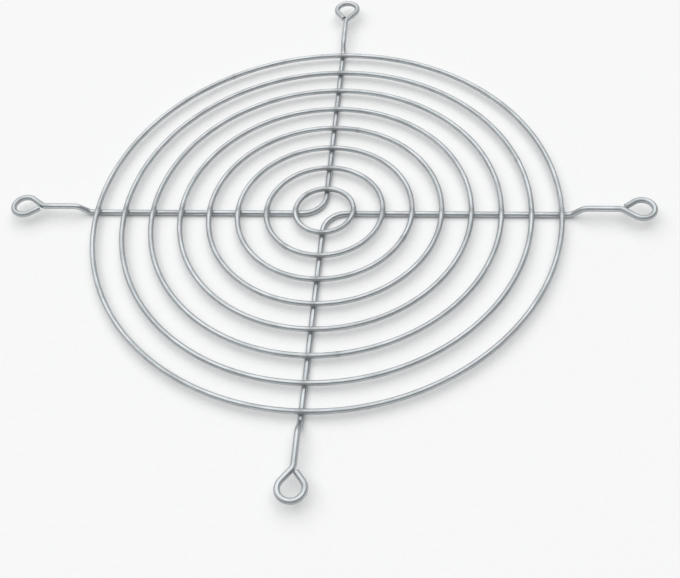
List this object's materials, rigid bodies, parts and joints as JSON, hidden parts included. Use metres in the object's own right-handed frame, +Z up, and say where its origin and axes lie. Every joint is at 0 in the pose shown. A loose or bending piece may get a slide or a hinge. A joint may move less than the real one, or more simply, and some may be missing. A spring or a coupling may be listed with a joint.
{
  "type": "wire fan guard",
  "caption": "Round wire finger guard for a cooling fan: concentric rings welded across bent spoke wires, whose raised ends curl into screw eyelets.",
  "frame": {"origin": "on the guard's axis at its underside, where the spoke wires rest", "axes": "+Z up, out of the side that meets the fan; +X and +Y run out along the arms"},
  "size_m": [0.1554, 0.1554, 0.0036],
  "materials": {
    "plated_wire": "bright zinc-plated steel wire, smooth with fine drawing marks"
  },
  "bodies": {
    "root": {"ring_1": "plated_wire", "ring_2": "plated_wire", "ring_3": "plated_wire", "ring_4": "plated_wire", "ring_5": "plated_wire", "ring_6": "plated_wire", "ring_7": "plated_wire", "ring_8": "plated_wire", "spoke_right_front": "plated_wire", "spoke_left_rear": "plated_wire"}
  },
  "joints": []
}
